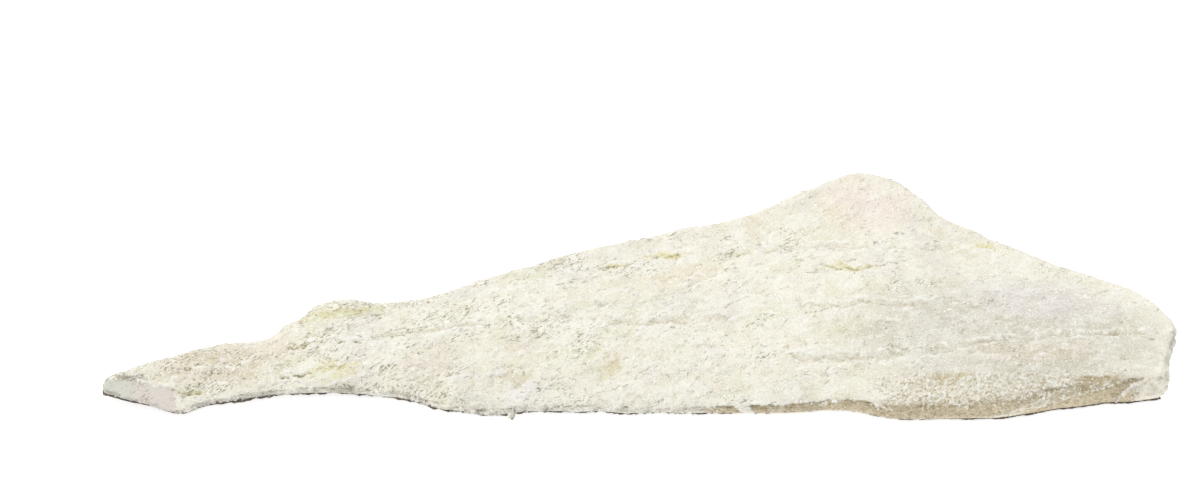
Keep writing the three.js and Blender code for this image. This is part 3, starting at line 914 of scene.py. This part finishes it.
class COD_OT_salt(bpy.types.Operator):
    """Strews coarse salt grains over the flesh."""
    bl_idname = "cod.salt"
    bl_label = "Salt grains"

    def execute(self, context):
        side = context.scene.cod_sizes.grain
        bpy.ops.mesh.primitive_cube_add(size=side)
        grain = context.object
        bpy.ops.object.mode_set(mode="EDIT")
        bpy.ops.mesh.select_all(action="SELECT")
        bpy.ops.mesh.bevel(offset=0.14 * side, segments=1)
        bpy.ops.object.mode_set(mode="OBJECT")
        piece = strew("salt_grains", grain, ON_CRUST_AND_BARE, 4.0, 5)
        finish_piece(piece, salt_material(context.scene.cod_colours))
        bpy.ops.object.shade_flat()
        return {"FINISHED"}


class COD_OT_fibres(bpy.types.Operator):
    """Lays loose dried fibres over the flesh, roughly along the muscle."""
    bl_idname = "cod.fibres"
    bl_label = "Loose fibres"

    def execute(self, context):
        length = context.scene.cod_sizes.fibre
        bpy.ops.mesh.primitive_cylinder_add(
            vertices=4, radius=0.18 * MM, depth=length, end_fill_type="TRIFAN", rotation=(0, math.pi / 2, 0))
        fibre = context.object
        bpy.ops.object.transform_apply(location=True, rotation=True, scale=True)
        bpy.ops.object.mode_set(mode="EDIT")
        for share in (-0.3, -0.1, 0.1, 0.3):
            bpy.ops.mesh.select_all(action="SELECT")
            bpy.ops.mesh.bisect(plane_co=(share * length, 0, 0), plane_no=(1, 0, 0))
        bpy.ops.object.mode_set(mode="OBJECT")
        for method, angle in (("BEND", math.radians(50)), ("TWIST", math.radians(120))):
            curl = fibre.modifiers.new(method.title(), "SIMPLE_DEFORM")
            curl.deform_method = method
            curl.angle = angle
            curl.deform_axis = "Z" if method == "BEND" else "X"
            bpy.ops.object.modifier_apply(modifier=curl.name)
        piece = strew("loose_fibres", fibre, ON_TOP, 3.0, 7, turned=ALONG_THE_MUSCLE)
        finish_piece(piece, bpy.data.objects["flesh"].active_material)
        return {"FINISHED"}


def floor_material(stage):
    """White acrylic sheet lit from below: it keeps shadows faint."""
    material = bpy.data.materials.new("Backlit_white_acrylic")
    material.use_nodes = True
    surface = material.node_tree.nodes["Principled BSDF"]
    surface.inputs["Base Color"].default_value = rgba(linear("#e6e6e4"))
    surface.inputs["Roughness"].default_value = 0.8
    surface.inputs["Specular IOR Level"].default_value = 0.1
    surface.inputs["Emission Color"].default_value = (1, 1, 1, 1)
    surface.inputs["Emission Strength"].default_value = stage.floor_glow
    return material


class COD_OT_stage(bpy.types.Operator):
    """Sets the floor, the lights and the camera."""
    bl_idname = "cod.stage"
    bl_label = "Floor, lights and camera"

    def execute(self, context):
        stage = context.scene.cod_stage
        bpy.ops.mesh.primitive_plane_add(size=FLOOR_WIDTH, location=(0, 0, -FLOOR_DROP))
        floor = context.object
        floor.name = "floor"
        bpy.ops.object.transform_apply(location=True, rotation=True, scale=True)
        floor.data.materials.append(floor_material(stage))

        world = bpy.data.worlds.new("White surroundings")
        context.scene.world = world
        world.use_nodes = True
        surroundings = world.node_tree.nodes["Background"]
        surroundings.inputs["Color"].default_value = (1, 1, 1, 1)
        surroundings.inputs["Strength"].default_value = stage.sky

        bpy.ops.object.light_add(type="SUN", rotation=(*(math.radians(turn) for turn in KEY_TURN), 0))
        key = context.object
        key.name = "key_light"
        key.data.energy = stage.key
        key.data.angle = math.radians(KEY_WIDTH)

        away = Vector((0, -math.cos(stage.elevation), math.sin(stage.elevation)))
        bpy.ops.object.camera_add(
            location=Vector(AIM) + stage.distance * away, rotation=(math.pi / 2 - stage.elevation, 0, 0))
        camera = context.object
        camera.name = "camera"
        camera.data.sensor_width = SENSOR_WIDTH
        camera.data.lens = stage.lens
        context.scene.camera = camera
        context.scene.view_settings.view_transform = "Standard"
        return {"FINISHED"}


class COD_PT_panel(bpy.types.Panel):
    """Lists the steps and the values that they use."""
    bl_idname = "COD_PT_panel"
    bl_label = "Salted dried cod"
    bl_space_type = "VIEW_3D"
    bl_region_type = "UI"
    bl_category = "Cod"

    def draw(self, context):
        for operator in OPERATORS:
            self.layout.operator(operator.bl_idname)
        for group in (context.scene.cod_sizes, context.scene.cod_colours, context.scene.cod_stage):
            for name in group.__annotations__:
                self.layout.prop(group, name)


OPERATORS = (
    COD_OT_stage, COD_OT_flesh, COD_OT_skin, COD_OT_crumbs, COD_OT_shreds, COD_OT_salt, COD_OT_fibres)
CLASSES = (CodSizes, CodColours, CodStage, *OPERATORS, COD_PT_panel)


def register():
    for item in CLASSES:
        bpy.utils.register_class(item)
    bpy.types.Scene.cod_sizes = PointerProperty(type=CodSizes)
    bpy.types.Scene.cod_colours = PointerProperty(type=CodColours)
    bpy.types.Scene.cod_stage = PointerProperty(type=CodStage)


def unregister():
    del bpy.types.Scene.cod_stage
    del bpy.types.Scene.cod_colours
    del bpy.types.Scene.cod_sizes
    for item in reversed(CLASSES):
        bpy.utils.unregister_class(item)


def main():
    register()
    bpy.ops.cod.stage()
    bpy.ops.cod.flesh()
    bpy.ops.cod.skin()
    bpy.ops.cod.crumbs()
    bpy.ops.cod.shreds()
    bpy.ops.cod.salt()
    bpy.ops.cod.fibres()


if __name__ == "__main__":
    main()
